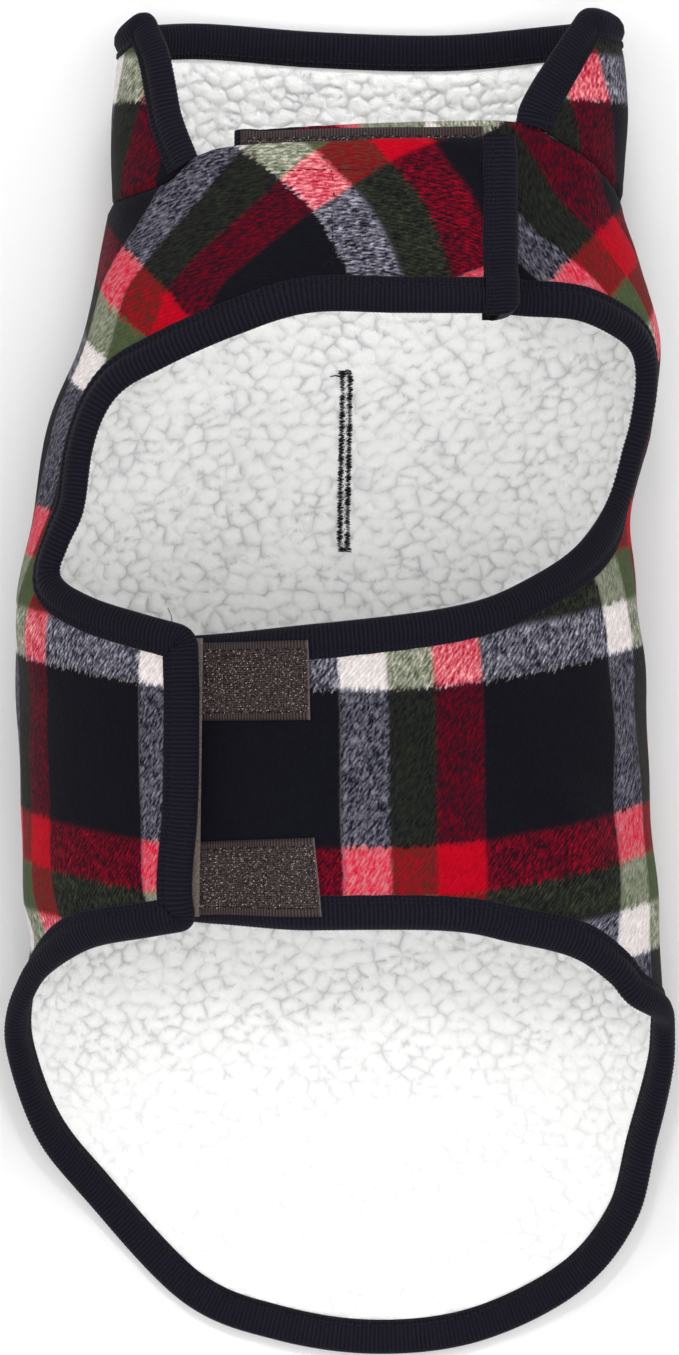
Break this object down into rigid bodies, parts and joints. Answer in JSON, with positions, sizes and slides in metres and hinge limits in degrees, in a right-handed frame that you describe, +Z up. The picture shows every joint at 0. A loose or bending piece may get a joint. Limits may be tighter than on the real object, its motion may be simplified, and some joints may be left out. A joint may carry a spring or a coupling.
{
  "type": "dog winter coat",
  "caption": "Hollow dog winter coat in plaid flannel with sherpa lining, stand collar, knit-bound edges and hook-tape closures at neck and belly, lying closed on its back.",
  "frame": {"origin": "on the surface that the back lies on, under the middle of the coat's bounding box", "axes": "+Z up, away from the back; +Y along the coat from the tail to the neck; +X across it, towards the right wings, which lie under the left ones"},
  "size_m": [0.2152, 0.4334, 0.1032],
  "materials": {
    "flannel": "brushed plaid flannel in red, green, cream and navy",
    "sherpa": "white sherpa pile",
    "rib_knit": "navy rib knit tape",
    "hook_tape": "dark brown hook and loop tape",
    "stitching": "navy satin stitch"
  },
  "bodies": {
    "root": {"body_shell": "flannel", "body_lining": "sherpa", "body_binding": "rib_knit", "collar_shell": "flannel", "collar_lining": "sherpa", "collar_binding": "rib_knit", "neck_hook_tape": "hook_tape", "belly_hook_tape_upper": "hook_tape", "belly_hook_tape_lower": "hook_tape", "belly_loop_tape": "hook_tape", "leash_slit_stitching": "stitching"}
  },
  "joints": []
}
